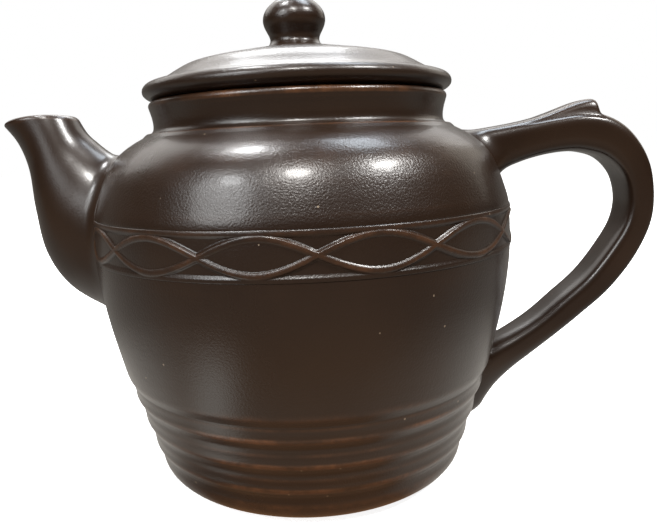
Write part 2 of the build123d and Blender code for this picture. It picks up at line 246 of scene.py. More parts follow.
# The body's outline from the middle of its underside, up the outside and down to its floor.
profile = np.vstack((
    UNDERSIDE, through(FOOT, FOOT_STEPS), ringed_wall()[1:-1], through(BELLY, BELLY_STEPS),
    through(COLLAR, COLLAR_STEPS), through(INSIDE, INSIDE_STEPS), INNER_FLOOR))
WALL_START = len(UNDERSIDE) + FOOT_STEPS
COLLAR_SHARE = 20           # points of the collar that still count as wall
WALL_LINE = profile[WALL_START:WALL_START + RING_STEPS - 2 + BELLY_STEPS + COLLAR_SHARE]


def wall_at(height):
    """The outside radius of the body at a height."""
    return np.interp(height, WALL_LINE[:, 1], WALL_LINE[:, 0])


# The seat is a little narrower than the band and lies only on the outer side of the wall.
under_band = np.abs(profile[:, 1] - BAND_CENTRE) < BAND_HALF - 0.7
outer_side = profile[:, 0] > 79
seated = profile.copy()
seated[under_band & outer_side, 0] -= BAND_SEAT

STRAINER_HOLE = 5.0
STRAINER_PITCH = 8.6
STRAINER_MIDDLE = 96.8      # height of the middle of the pierced patch
STRAINER_OUT = -76
STRAINER_HALF_WIDE = 18
STRAINER_HALF_TALL = 25
DRILL_LENGTH = 34


def strainer_places():
    """Where the strainer holes go through the wall behind the spout."""
    row_pitch = STRAINER_PITCH * sqrt(3) / 2
    places = []
    for row in range(-3, 4):
        up = row * row_pitch
        reach = STRAINER_HALF_WIDE * sqrt(1 - (up / STRAINER_HALF_TALL) ** 2)
        stagger = STRAINER_PITCH / 2 if row % 2 else 0
        for step in range(-5, 6):
            across = step * STRAINER_PITCH + stagger
            if abs(across) <= reach - STRAINER_HOLE / 4:
                places.append((STRAINER_OUT, across, STRAINER_MIDDLE + up))
    return places


# How strongly glaze runs off the crests of each thrown piece.
RING_THIN_GAIN = 36.0
RING_THIN_POWER = 1.5
LID_THIN_GAIN = 9.0
KNOB_THIN_GAIN = 2.0

# Glaze runs thin on the crests of the rings, but not on the step under the band.
thinness = crest_thinness(seated, RING_THIN_GAIN) ** RING_THIN_POWER
thinness[np.abs(seated[:, 1] - BAND_CENTRE) < BAND_HALF + 3] = 0
pot_body = turned("pot_body_glazed", seated, 288, thin=thinness, sway=0.05)
bored(pot_body, drill_bits(strainer_places(), STRAINER_HOLE / 2, DRILL_LENGTH, (1, 0, 0)))

# ---- The band of crossing cords ------------------------------------------------

CELLS = 14
CELL_WIDTH = 36.8           # one cell's length round the band
CORD_SWING = 5.6            # how far each cord swings from the middle of the band
CORD_HALF = 1.3
CORD_RISE = 0.66
BEAD_HALF = 1.2
BEAD_RISE = 0.44
LOW_BEAD_RISE = 0.24
EYE_RISE = 0.16             # how far the eyes between the cords swell
CORNER_SINK = 0.30          # how far the corners outside the cords are pressed in
BAND_FACE = 81.75           # radius of the flat of the band at its lower edge
BAND_BACK = 80.0
# The potter laid the crossings by eye: five of them in front, in degrees from the front
# towards the handle, and ten even cells behind, numbered on from the same count.
CROSSING_COUNT = (-5, -2, -1, 0, 1, 2, 12)
CROSSING_TURN = (-125.8, -50.3, -23.1, 2.8, 29.7, 58.0, 309.7)
SPOUT_GAP = radians(13.5)


def band_relief(turn, up):
    """How far the band stands proud at an angle from the front and a height from its middle,
    and how much of that is cord or bead."""
    cell = np.interp(np.degrees(turn), CROSSING_TURN, CROSSING_COUNT)
    wander = 0.22 * np.sin(3 * turn + 0.4) + 0.12 * np.sin(8 * turn + 1.9)
    arc = np.sin(pi * cell)
    slope = CORD_SWING * pi / CELL_WIDTH * np.cos(pi * cell)
    steep = 1 / np.sqrt(1 + slope**2)
    ridge = np.zeros_like(up)
    for side in (-1, 1):
        gap = np.abs(up - wander - side * CORD_SWING * arc) * steep
        round_top = np.sqrt(np.clip(1 - (gap / CORD_HALF) ** 2, 0, 1))
        ridge = np.maximum(ridge, CORD_RISE * round_top**1.4)
    edge = np.abs(np.abs(up) - (BAND_HALF - BEAD_HALF))
    bead_rise = np.where(up > 0, BEAD_RISE, LOW_BEAD_RISE)
    bead = bead_rise * np.sqrt(np.clip(1 - (edge / BEAD_HALF) ** 2, 0, 1))
    ridge = np.maximum(ridge, bead)
    in_corner = soft_step(-0.8, 0.8, np.abs(up - wander) - np.abs(CORD_SWING * arc))
    in_corner *= soft_step(0, 1.0, BAND_HALF - BEAD_HALF - np.abs(up))
    eye = np.clip(1 - (up / np.maximum(CORD_SWING * np.abs(arc), 0.3)) ** 2, 0, 1)
    rise = np.maximum(ridge, EYE_RISE * eye) - CORNER_SINK * in_corner * (ridge < 0.5)
    return rise, 0.45 * soft_step(0.2, 0.7, ridge)


def band_rows():
    """The band as rows round its section, one for each step round the pot."""
    turns = np.linspace(-pi / 2 + SPOUT_GAP, 3 * pi / 2 - SPOUT_GAP, CELLS * 78)
    ups = np.linspace(-BAND_HALF, BAND_HALF, 84)
    turn, up = np.meshgrid(turns, ups, indexing="ij")
    rise, proud = band_relief(turn, up)
    face = BAND_FACE - 0.035 * (up + BAND_HALF)
    tucked = soft_step(BAND_HALF - 0.10, BAND_HALF, np.abs(up))
    radius = face + rise - 0.55 * tucked
    back = np.full((len(turns), 2), BAND_BACK)
    radius = np.column_stack((back[:, :1], radius, back[:, 1:]))
    ends = np.full((len(turns), 1), BAND_HALF)
    height = BAND_CENTRE + np.column_stack((-ends, up, ends))
    proud = np.column_stack((np.zeros((len(turns), 1)), proud, np.zeros((len(turns), 1))))
    turn = turns[:, None]
    rows = np.stack((radius * np.sin(turn), -radius * np.cos(turn), height), axis=2)
    return rows, proud


rows, proud = band_rows()
wave_band = skin("wave_band_cords", rows, capped=(True, True), thin=proud)

# ---- The spout -------------------------------------------------------------------

SPOUT_UNDER = [(70.0, 61.5), (95.7, 77.1), (104.3, 90.8), (107.2, 108.4), (108.4, 126.0),
               (112.0, 136.5), (119.4, 146.2)]
SPOUT_OVER = [(60.0, 121.0), (72.9, 129.0), (76.5, 131.2), (81.2, 135.2), (85.3, 139.5),
              (90.3, 149.8)]
SPOUT_WALL = 3.0
SPOUT_ROOT_WIDTH = 48.0
SPOUT_MOUTH_WIDTH = 22.5
SPOUT_NARROWING = SPOUT_ROOT_WIDTH - SPOUT_MOUTH_WIDTH
RIM_TIP = (117.6, 143.2)
RIM_CREST = (103.0, 146.35)
RIM_HEEL = (89.2, 145.8)

# How far the clay is smoothed out onto the wall, and over what length of the piece.
SPOUT_FLARE = (2.4, 5.5)
HANDLE_TOP_FLARE = (2.6, 8.0)
HANDLE_TAIL_FLARE = (2.2, 7.0)


def rim_height(out):
    """The height of the spout's drooping rim at a distance from the axis."""
    total = 0
    points = (RIM_TIP, RIM_CREST, RIM_HEEL)
    for a, (x, z) in enumerate(points):
        term = z
        for b, (other, _) in enumerate(points):
            if b != a:
                term = term * (out - other) / (x - other)
        total = total + term
    return total


def spout_sections(count, around, inward):
    """Oval sections of the spout from inside the wall to past its mouth, as x, y, z.

    They narrow from SPOUT_ROOT_WIDTH to SPOUT_MOUTH_WIDTH."""
    under = through(SPOUT_UNDER, count)
    over = through(SPOUT_OVER, count)
    share = np.linspace(0, 1, count)[:, None]
    turn = np.linspace(0, 2 * pi, around, endpoint=False)[None, :]
    middle = (under + over) / 2
    across = (over - under) / 2
    half = np.linalg.norm(across, axis=1)[:, None]
    reach = across / half
    wide = (SPOUT_MOUTH_WIDTH + SPOUT_NARROWING * (1 - share) ** 1.25) / 2
    out = middle[:, :1] + reach[:, :1] * (half - inward) * np.cos(turn)
    high = middle[:, 1:] + reach[:, 1:] * (half - inward) * np.cos(turn)
    side = (wide - inward) * np.sin(turn)
    return np.stack((-out, side, high), axis=2)


def first_after(values):
    """For each column, where values first rise above zero and stay there, in row numbers."""
    count = values.shape[0]
    below = values < 0
    last = count - 1 - np.argmax(below[::-1], axis=0)
    last = np.clip(np.where(below.any(0), last, 0), 0, count - 2)
    column = np.arange(values.shape[1])
    low, high = values[last, column], values[last + 1, column]
    return last + np.clip(-low / np.where(high == low, 1, high - low), 0, 1)


def pick(rows, place):
    """Points between rows; place holds a row number for each new row and column."""
    low = np.clip(np.floor(place).astype(int), 0, rows.shape[0] - 2)
    column = np.arange(rows.shape[1])[None, :]
    share = (place - low)[..., None]
    return rows[low, column] * (1 - share) + rows[low + 1, column] * share


def off_wall(points):
    """How far out from the wall points are, square to the axis."""
    return np.hypot(points[..., 0], points[..., 1]) - wall_at(points[..., 2])


def flared(line, reach, length):
    """Rows pushed outward along the wall near the first, as clay is smoothed onto it,
    with one more row before them that is buried in the wall."""
    radial = line * (1, 1, 0)
    radial /= np.linalg.norm(radial, axis=2, keepdims=True)
    way = line - line.mean(axis=1, keepdims=True)
    way -= radial * (way * radial).sum(2, keepdims=True)
    way /= np.maximum(np.linalg.norm(way, axis=2, keepdims=True), 1e-6)
    run = np.linalg.norm(np.diff(line, axis=0), axis=2)
    run = np.vstack((np.zeros((1, line.shape[1])), np.cumsum(run, axis=0)))
    push = reach * np.clip(1 - run / length, 0, 1) ** 2.4
    slope = (wall_at(line[..., 2] + 1.5) - wall_at(line[..., 2] - 1.5)) / 3
    push /= np.sqrt(1 + (slope * way[..., 2]) ** 2)
    moved = line + way * push[..., None]
    drift = off_wall(moved) - off_wall(line)
    moved -= radial * drift[..., None]
    return np.concatenate((moved[:1] - 1.5 * radial[:1], moved))


def spout_rows():
    """The spout's outside from the wall to the lip, over it, and back down the inside."""
    around = 120
    fine = 900
    outer = spout_sections(fine, around, 0)
    inner = spout_sections(fine, around, SPOUT_WALL)
    shells = []
    for rows in (outer, inner):
        start = first_after(np.where(rows[..., 2] > 135.5, 1, off_wall(rows)))
        over = rows[..., 2] - rim_height(-rows[..., 0]) + SPOUT_WALL / 2
        over[: fine // 2] = -1
        end = first_after(over)
        shells.append((rows, start, end))
    steps = np.concatenate((np.linspace(0, 0.12, 16)[:-1], np.linspace(0.12, 1, 96)))[:, None]
    rows, start, end = shells[0]
    outside = pick(rows, start + (end - start) * steps)
    outside = flared(outside, *SPOUT_FLARE)
    rows, start, end = shells[1]
    inside = pick(rows, start + (end - start) * steps)
    lip_middle = (outside[-1] + inside[-1]) / 2
    lip_out = outside[-1] - lip_middle
    lip_up = outside[-1] - outside[-4]
    lip_up /= np.linalg.norm(lip_up, axis=1, keepdims=True)
    lip_up *= np.linalg.norm(lip_out, axis=1, keepdims=True)
    lip = [lip_middle + lip_out * cos(a) + lip_up * sin(a) for a in np.linspace(0, pi, 13)[1:-1]]
    buried = inside[:1] + (outside[:1] - outside[1:2])
    rows = np.concatenate((outside, lip, inside[::-1], buried))
    thin = np.zeros(rows.shape[:2])
    thin[len(outside) - 2:len(outside) + 13] = 0.15
    return rows, thin


rows, thin = spout_rows()
spout = skin("spout_shell", rows, closed=True, thin=thin)

# ---- The handle --------------------------------------------------------------------

# Each station of the pulled strap: outer point, inner point, width, squareness.
STRAP = [
    ((58.0, 132.7), (58.0, 112.6), 19.0, 3.6),
    ((70.0, 134.2), (71.0, 115.2), 19.0, 3.6),
    ((80.0, 135.5), (81.0, 118.2), 19.0, 3.6),
    ((90.5, 137.0), (91.0, 121.6), 19.0, 3.6),
    ((101.6, 138.6), (100.5, 123.6), 19.0, 3.6),
    ((111.9, 139.5), (109.0, 124.1), 19.0, 3.6),
    ((120.7, 138.2), (115.3, 123.2), 19.0, 3.7),
    ((128.8, 133.9), (121.0, 121.2), 19.0, 3.8),
    ((135.4, 126.5), (126.0, 117.2), 19.0, 4.0),
    ((139.9, 117.0), (129.5, 111.8), 19.0, 4.2),
    ((141.8, 103.9), (131.2, 102.8), 19.0, 4.2),
    ((140.8, 94.0), (129.7, 95.0), 19.0, 4.2),
    ((135.4, 81.3), (124.6, 86.0), 19.0, 4.0),
    ((125.1, 67.4), (115.3, 73.9), 19.0, 3.8),
    ((114.0, 57.4), (105.0, 64.8), 19.0, 3.6),
    ((104.3, 49.4), (95.7, 56.9), 19.0, 3.4),
    ((94.8, 41.9), (86.6, 51.0), 19.0, 3.2),
    ((85.8, 34.7), (76.9, 45.9), 19.0, 3.0),
    ((79.2, 27.9), (69.1, 41.6), 18.6, 2.8),
    ((75.2, 21.7), (62.7, 36.6), 18.0, 2.6),
    ((72.7, 17.4), (58.2, 31.6), 16.6, 2.5),
    ((68.6, 14.8), (55.3, 27.6), 15.0, 2.4),
    ((60.0, 14.2), (53.0, 25.0), 13.0, 2.2),
]
SPUR_X = (84, 90, 95, 100, 105, 110, 113, 115, 116.4, 117.4, 118.2, 119.0, 120.0)
SPUR_RISE = (0, 0.15, 0.55, 1.45, 2.7, 4.05, 4.85, 5.25, 4.95, 3.9, 2.1, 0.6, 0)
SPUR_HALF = 7.3


def strap_rows():
    """The strap from inside the wall at the top to inside the wall at the tail."""
    around = 112
    fine = 1500
    ends = [(*outer, *inner, width, square) for outer, inner, width, square in STRAP]
    line = through(ends, fine)
    outer, inner = line[:, 0:2], line[:, 2:4]
    width, square = line[:, 4:5], line[:, 5:6]
    turn = np.linspace(0, 2 * pi, around, endpoint=False)[None, :]
    up_share = np.sign(np.cos(turn)) * np.abs(np.cos(turn)) ** (2 / square)
    side_share = np.sign(np.sin(turn)) * np.abs(np.sin(turn)) ** (2 / square)
    middle = (outer + inner) / 2
    half = (outer - inner) / 2
    thick = np.linalg.norm(half, axis=1)[:, None]
    way = half / thick
    side = side_share * width / 2
    reach = thick * up_share
    rise = np.interp(outer[:, 0], SPUR_X, SPUR_RISE, left=0, right=0)
    rise[fine // 2:] = 0
    rise = np.convolve(np.pad(rise, 4, mode="edge"), np.ones(9) / 9, mode="valid")[:, None]
    crown = np.clip(1 - (np.abs(side) / SPUR_HALF) ** 5, 0, 1) ** 0.5
    reach = reach + rise * crown * (up_share > 0.3)
    groove = 0.28 * np.exp(-((np.abs(side) - 8.0) / 0.55) ** 2) * (up_share > 0.5)
    groove = groove * soft_step(84, 96, outer[:, :1]) * (rise > 0)
    reach = reach - groove
    rows = np.stack((middle[:, :1] + way[:, :1] * reach, side,
                     middle[:, 1:] + way[:, 1:] * reach), axis=2)
    return rows, rise * crown * (up_share > 0.3)


HANDLE_REACH = 141.78       # the strap goes no further out than this


def handle_rows():
    """The strap cut where it meets the wall at both ends, with the clay smoothed on."""
    rows, spur = strap_rows()
    fine = len(rows)
    out = off_wall(rows)
    half = fine // 2
    start = first_after(out[:half])
    end = fine - 1 - first_after(out[half:][::-1])
    share = np.unique(np.concatenate((
        np.linspace(0, 1, 330), np.linspace(0, 0.035, 14), np.linspace(0.965, 1, 14),
        np.linspace(0.17, 0.225, 70))))[:, None]
    place = fine * share + start * (1 - share) ** 8 + (end - fine) * share ** 8
    place = np.clip(place, start, end)
    line = pick(rows, place)
    spur_line = pick(spur[..., None], place)[..., 0]
    line = flared(line, *HANDLE_TOP_FLARE)
    line = flared(line[::-1], *HANDLE_TAIL_FLARE)[::-1]
    spur_line = np.vstack((spur_line[:1], spur_line, spur_line[-1:]))
    line[..., 0] = np.minimum(line[..., 0], HANDLE_REACH)
    return line, np.clip(spur_line / 5, 0, 1) * 0.3


rows, thin = handle_rows()
handle = skin("handle_strap", rows, capped=(True, True), thin=thin)

# ---- The lid, its ring and its knob ------------------------------------------------

LID_TOP = [(13.6, 168.15), (20.5, 167.0), (31.3, 164.9), (38.0, 163.6), (43.2, 162.2),
           (47.2, 160.2), (50.6, 158.2), (53.4, 156.7), (55.2, 156.1), (57.0, 155.9),
           (58.9, 155.0), (60.0, 153.4), (59.9, 151.7), (58.7, 150.4), (57.0, 149.6),
           (55.2, 149.0)]
LID_UNDER = [(46.5, 149.0), (46.3, 150.4), (45.3, 151.6), (42.0, 154.8), (38.8, 157.8),
             (33.0, 160.2), (24.0, 162.0), (12.0, 163.5)]
lid_profile = np.vstack(([(0.6, 168.4), (6.0, 168.4), (11.0, 168.35)], through(LID_TOP, 130),
                         [(51.0, 149.0)], through(LID_UNDER, 60), [(6.0, 163.7), (0.6, 163.8)]))
lid = turned("lid_dome", lid_profile, 256, thin=crest_thinness(lid_profile, LID_THIN_GAIN),
             sway=0.04)
STEAM_HOLE = (0, 30, 163)
STEAM_HOLE_RADIUS = 1.6
STEAM_DRILL_LENGTH = 18
bored(lid, drill_bits([STEAM_HOLE], STEAM_HOLE_RADIUS, STEAM_DRILL_LENGTH, (0, 0, 1)))

RING = [(51.15, 148.9), (51.1, 146.0), (50.9, 141.0), (50.6, 139.4), (49.8, 138.6),
        (48.9, 138.5), (47.6, 138.7), (46.9, 139.5), (46.6, 141.0), (46.5, 146.0),
        (46.5, 148.9)]
locating_ring = turned("lid_locating_ring_bare", through(RING, 60), 192, closed=True,
                       capped=(False, False))

KNOB = [(12.9, 168.25), (11.4, 168.9), (10.2, 169.8), (9.65, 171.2), (9.95, 172.9),
        (10.9, 174.8), (11.8, 176.7), (12.2, 178.7), (11.9, 180.8), (10.8, 182.9),
        (8.7, 185.0), (5.9, 186.7), (3.0, 187.6)]
knob_profile = np.vstack(([(0.5, 167.2), (8.0, 167.2), (12.6, 167.6)], through(KNOB, 80),
                          [(1.4, 187.82), (0.4, 187.88)]))
knob = turned("lid_knob_turned", knob_profile, 144,
              thin=crest_thinness(knob_profile, KNOB_THIN_GAIN), sway=0.05)

# ---- Glaze and clay --------------------------------------------------------------


def node_group(name, inputs, outputs):
    """An empty node group with these named sockets, and its two end nodes."""
    group = bpy.data.node_groups.new(name, "ShaderNodeTree")
    for label, kind, value in inputs:
        made = group.interface.new_socket(label, in_out="INPUT", socket_type=kind)
        made.default_value = value
    for label, kind in outputs:
        group.interface.new_socket(label, in_out="OUTPUT", socket_type=kind)
    return group, group.nodes.new("NodeGroupInput"), group.nodes.new("NodeGroupOutput")


def add(tree, kind, **values):
    """A new node with its settings or input values filled in."""
    node = tree.nodes.new(kind)
    for key, value in values.items():
        if key in node.inputs:
            node.inputs[key].default_value = value
        else:
            setattr(node, key, value)
    return node


def noise(tree, scale, detail, vector):
    """A noise texture of this scale and detail, laid out along this vector."""
    node = add(tree, "ShaderNodeTexNoise")
    node.inputs["Scale"].default_value = scale
    node.inputs["Detail"].default_value = detail
    tree.links.new(vector, node.inputs["Vector"])
    return node


def graded(tree, value, low, high):
    """How far a value is from low to high, as a share from 0 to 1."""
    node = add(tree, "ShaderNodeMapRange")
    node.inputs["From Min"].default_value = low
    node.inputs["From Max"].default_value = high
    tree.links.new(value, node.inputs["Value"])
    return node.outputs["Result"]


def maths(tree, operation, first, second):
    """The result of one operation on two numbers or sockets."""
    node = add(tree, "ShaderNodeMath", operation=operation)
    for socket, value in zip(node.inputs, (first, second)):
        if isinstance(value, (int, float)):
            socket.default_value = value
        else:
            tree.links.new(value, socket)
    return node.outputs[0]


def ranged(tree, share, low, high):
    """A value from 0 to 1 spread from low to high."""
    node = add(tree, "ShaderNodeMapRange")
    node.inputs["To Min"].default_value = low
    node.inputs["To Max"].default_value = high
    tree.links.new(share, node.inputs["Value"])
    return node.outputs["Result"]


def mixed(tree, share, first, second):
    """A colour between the first and the second, which it reaches at a share of 1."""
    node = add(tree, "ShaderNodeMix", data_type="RGBA")
    sockets = (node.inputs[0], node.inputs[6], node.inputs[7])
    for socket, value in zip(sockets, (share, first, second)):
        if isinstance(value, (int, float, tuple)):
            socket.default_value = value
        else:
            tree.links.new(value, socket)
    return node.outputs[2]


def make_iron_glaze():
    """Colour of an iron glaze: clouded dark brown, rust where it has run thin; on turned pieces the
    rust also carries a painted reflection towards the front.
    """
    group, given, made = node_group(
        "iron_glaze_colour",
        [("Vector", "NodeSocketVector", (0, 0, 0)), ("Dark", "NodeSocketColor", (0, 0, 0, 1)),
         ("Cloud", "NodeSocketColor", (0, 0, 0, 1)), ("Rust", "NodeSocketColor", (0, 0, 0, 1)),
         ("Thin", "NodeSocketFloat", 0.0)],
        [("Color", "NodeSocketColor")])
    vector = given.outputs["Vector"]
    clouds = graded(group, noise(group, 22, 3, vector).outputs["Fac"], 0.36, 0.66)
    mottle = graded(group, noise(group, 420, 2, vector).outputs["Fac"], 0.35, 0.7)
    base = mixed(group, clouds, given.outputs["Dark"], given.outputs["Cloud"])
    patchy = graded(group, noise(group, 70, 3, vector).outputs["Fac"], 0.28, 0.62)
    speckle = maths(group, "ADD", maths(group, "MULTIPLY", mottle, 0.35), 0.3)
    mask = maths(group, "MULTIPLY", given.outputs["Thin"], patchy)
    mask = maths(group, "MULTIPLY", mask, speckle)
    tinted = mixed(group, mask, base, given.outputs["Rust"])
    group.links.new(tinted, made.inputs["Color"])
    return group


def make_pinholes():
    """Scattered pinholes and pale specks that gas leaves in a glaze."""
    group, given, made = node_group(
        "glaze_pinholes",
        [("Vector", "NodeSocketVector", (0, 0, 0)), ("Scale", "NodeSocketFloat", 230.0),
         ("Size", "NodeSocketFloat", 0.1), ("Share", "NodeSocketFloat", 0.1)],
        [("Speck", "NodeSocketFloat")])
    cells = add(group, "ShaderNodeTexVoronoi")
    group.links.new(given.outputs["Vector"], cells.inputs["Vector"])
    group.links.new(given.outputs["Scale"], cells.inputs["Scale"])
    near = maths(group, "LESS_THAN", cells.outputs["Distance"], given.outputs["Size"])
    split = add(group, "ShaderNodeSeparateColor")
    group.links.new(cells.outputs["Color"], split.inputs["Color"])
    chosen = maths(group, "LESS_THAN", split.outputs[0], given.outputs["Share"])
    group.links.new(maths(group, "MULTIPLY", near, chosen), made.inputs["Speck"])
    return group


def make_glaze_skin():
    """The height of a fired glaze surface: slow swells under a fine orange peel."""
    group, given, made = node_group(
        "glaze_skin_height",
        [("Vector", "NodeSocketVector", (0, 0, 0)), ("Swell", "NodeSocketFloat", 1.0),
         ("Peel", "NodeSocketFloat", 0.2), ("Wheel", "NodeSocketFloat", 0.2)],
        [("Height", "NodeSocketFloat")])
    vector = given.outputs["Vector"]
    swell = maths(group, "MULTIPLY", noise(group, 60, 2, vector).outputs["Fac"],
                  given.outputs["Swell"])
    peel = maths(group, "MULTIPLY", noise(group, 1500, 3, vector).outputs["Fac"],
                 given.outputs["Peel"])
    stretch = add(group, "ShaderNodeMapping")
    stretch.inputs["Scale"].default_value = (6, 6, 700)
    group.links.new(vector, stretch.inputs["Vector"])
    wheel = maths(group, "MULTIPLY", noise(group, 1, 2, stretch.outputs[0]).outputs["Fac"],
                  given.outputs["Wheel"])
    total = maths(group, "ADD", maths(group, "ADD", swell, peel), wheel)
    group.links.new(total, made.inputs["Height"])
    return group


IRON_GLAZE = make_iron_glaze()
PINHOLES = make_pinholes()
GLAZE_SKIN = make_glaze_skin()


def placed(tree, group, **values):
    """The group as a node in this tree, with its own input values."""
    node = tree.nodes.new("ShaderNodeGroup")
    node.node_tree = group
    for key, value in values.items():
        node.inputs[key].default_value = value
    return node


DARK = (0.0150, 0.0072, 0.0038, 1)
CLOUD = (0.0215, 0.0112, 0.0062, 1)
RUST = (0.190, 0.078, 0.032, 1)
PALE_SPECK = (0.22, 0.17, 0.12, 1)
PINHOLE_SIZE = 0.085        # against the width of a cell
CLAY = (0.19, 0.10, 0.055, 1)
CLAY_CLOUD = (0.13, 0.065, 0.036, 1)
CLAY_GRAIN = (0.30, 0.20, 0.13, 1)


def glaze(name, peel=0.9, wheel=0.2, specks=0.12, roughness=(0.24, 0.34)):
    """A satin iron glaze over stoneware.

    peel and wheel are the heights of its orange peel and of the marks of the wheel under it,
    and specks is the share of cells with a pinhole."""
    material = bpy.data.materials.new(name)
    material.use_nodes = True
    tree = material.node_tree
    links = tree.links
    shader = tree.nodes["Principled BSDF"]
    place = add(tree, "ShaderNodeTexCoord").outputs["Object"]
    # The thin share brings crest rust, and on turned pieces a painted reflection strongest towards
    # the front.
    thin = add(tree, "ShaderNodeAttribute", attribute_name="thin").outputs["Fac"]
    colour = placed(tree, IRON_GLAZE, Dark=DARK, Cloud=CLOUD, Rust=RUST)
    pits = placed(tree, PINHOLES, Size=PINHOLE_SIZE, Share=specks)
    surface = placed(tree, GLAZE_SKIN, Swell=1.0, Peel=peel, Wheel=wheel)
    for node in (colour, pits, surface):
        links.new(place, node.inputs["Vector"])
    links.new(thin, colour.inputs["Thin"])
    speckled = mixed(tree, pits.outputs["Speck"], colour.outputs["Color"], PALE_SPECK)
    links.new(speckled, shader.inputs["Base Color"])
    patches = noise(tree, 35, 3, place).outputs["Fac"]
    links.new(ranged(tree, patches, *roughness), shader.inputs["Roughness"])
    height = maths(tree, "SUBTRACT", surface.outputs["Height"],
                   maths(tree, "MULTIPLY", pits.outputs["Speck"], 0.8))
    bump = add(tree, "ShaderNodeBump")
    bump.inputs["Strength"].default_value = 0.5
    bump.inputs["Distance"].default_value = 0.00022
    links.new(height, bump.inputs["Height"])
    links.new(bump.outputs["Normal"], shader.inputs["Normal"])
    shader.inputs["Coat Weight"].default_value = 0.18
    shader.inputs["Coat Roughness"].default_value = 0.12
    shader.inputs["IOR"].default_value = 1.52
    return material


def bare_clay():
    """Unglazed fired stoneware, where the lid's ring was wiped clean."""
    material = bpy.data.materials.new("bare_stoneware")
    material.use_nodes = True
    tree = material.node_tree
    shader = tree.nodes["Principled BSDF"]
    place = add(tree, "ShaderNodeTexCoord").outputs["Object"]
    grains = graded(tree, noise(tree, 900, 3, place).outputs["Fac"], 0.35, 0.7)
    clouds = graded(tree, noise(tree, 60, 3, place).outputs["Fac"], 0.3, 0.7)
    base = mixed(tree, clouds, CLAY, CLAY_CLOUD)
    grained = mixed(tree, maths(tree, "MULTIPLY", grains, 0.35), base, CLAY_GRAIN)
    tree.links.new(grained, shader.inputs["Base Color"])
    bump = add(tree, "ShaderNodeBump")
    bump.inputs["Strength"].default_value = 0.6
    bump.inputs["Distance"].default_value = 0.0002
    tree.links.new(grains, bump.inputs["Height"])
    tree.links.new(bump.outputs["Normal"], shader.inputs["Normal"])
    shader.inputs["Roughness"].default_value = 0.82
    return material


# Each piece's body, the solid it stands for, its material slot and its finish.
FINISHES = {
    pot_body: ("pot", "pot_body", "glaze_body", glaze("glaze_on_body")),
    wave_band: ("pot", "wave_band", "glaze_relief",
                glaze("glaze_on_relief", wheel=0.0, specks=0.2, roughness=(0.28, 0.38))),
    spout: ("pot", "spout", "glaze_handles",
            glaze("glaze_on_spout", peel=0.3, wheel=0.0, specks=0.03, roughness=(0.26, 0.36))),
    handle: ("pot", "handle", "glaze_handles",
             glaze("glaze_on_handle", peel=0.3, wheel=0.0, specks=0.03)),
    lid: ("lid", "lid", "glaze_lid",
          glaze("glaze_on_lid", peel=1.0, roughness=(0.27, 0.37))),
    knob: ("lid", "lid_knob", "glaze_lid",
           glaze("glaze_on_knob", wheel=0.1, specks=0.05)),
    locating_ring: ("lid_ring", "lid_locating_ring", "bare_ring", bare_clay()),
}
for piece, (body, node, slot, material) in FINISHES.items():
    piece.data.materials.clear()
    piece.data.materials.append(material)
    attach(piece, body)
    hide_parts(node)

# ---- Floor, light and camera -----------------------------------------------------


# What the glaze sees of the table, a painted reflection the floor glows with for every ray but
# the eye's: pale behind and beside the pot, warm in front, painted shade close in, and a painted
# pool of light to the left of the front.
TABLE_PALE = (0.66, 0.62, 0.56, 1)
TABLE_PALE_FAR = (0.20, 0.185, 0.16, 1)
TABLE_WARM = (0.44, 0.25, 0.13, 1)
TABLE_WARM_FAR = (0.20, 0.125, 0.075, 1)
TABLE_PAINTED_LIGHT = (2.3, 2.25, 2.1, 1)
TABLE_WARM_PAINTED_SHADE = (0.38, 0.185, 0.080, 1)
TABLE_PAINTED_SHADE = (0.12, 0.070, 0.042, 1)
PAINTED_LIGHT_BEARING = radians(-137)      # from +Y towards +X
FLOOR_RADIUS = 6                    # in metres, as all below
FLOOR_SEEN = (0.82, 0.82, 0.81, 1)
FLOOR_UNSEEN = (0.02, 0.02, 0.02, 1)


def painted_table_reflection(tree, axes, reach):
    """The painted reflection of the table by place, with its painted light and shade; axes holds X,
    Y and Z, and reach the distance out.
    """
    sideways, forward = axes.outputs["X"], axes.outputs["Y"]
    pale = mixed(tree, graded(tree, reach, 0.24, 0.13), TABLE_PALE_FAR, TABLE_PALE)
    warm = mixed(tree, graded(tree, reach, 0.22, 0.13), TABLE_WARM_FAR, TABLE_WARM)
    # Painted light: a bright pool on the table to the left of the front, glowing in reflections.
    bearing = maths(tree, "ARCTAN2", sideways, forward)
    off_patch = maths(tree, "ABSOLUTE", maths(tree, "SUBTRACT", bearing, PAINTED_LIGHT_BEARING), 0)
    painted_light_patch = maths(tree, "MULTIPLY", graded(tree, off_patch, radians(15), radians(3)),
                  graded(tree, reach, 0.19, 0.13))
    warm = mixed(tree, painted_light_patch, warm, TABLE_PAINTED_LIGHT)
    open_table = mixed(tree, graded(tree, forward, -0.14, -0.03), warm, pale)
    # Painted shade close in front of the foot: warm in the middle, dark to the left, none to the
    # right.
    painted_shade = maths(tree, "MULTIPLY", graded(tree, reach, 0.102, 0.084),
                  graded(tree, sideways, 0.052, 0.034))
    painted_shade = maths(tree, "MULTIPLY", painted_shade, graded(tree, forward, -0.022, -0.050))
    aside = graded(tree, maths(tree, "ABSOLUTE", sideways, 0), 0.028, 0.052)
    return mixed(tree, painted_shade, open_table, mixed(tree, aside, TABLE_WARM_PAINTED_SHADE, TABLE_PAINTED_SHADE))


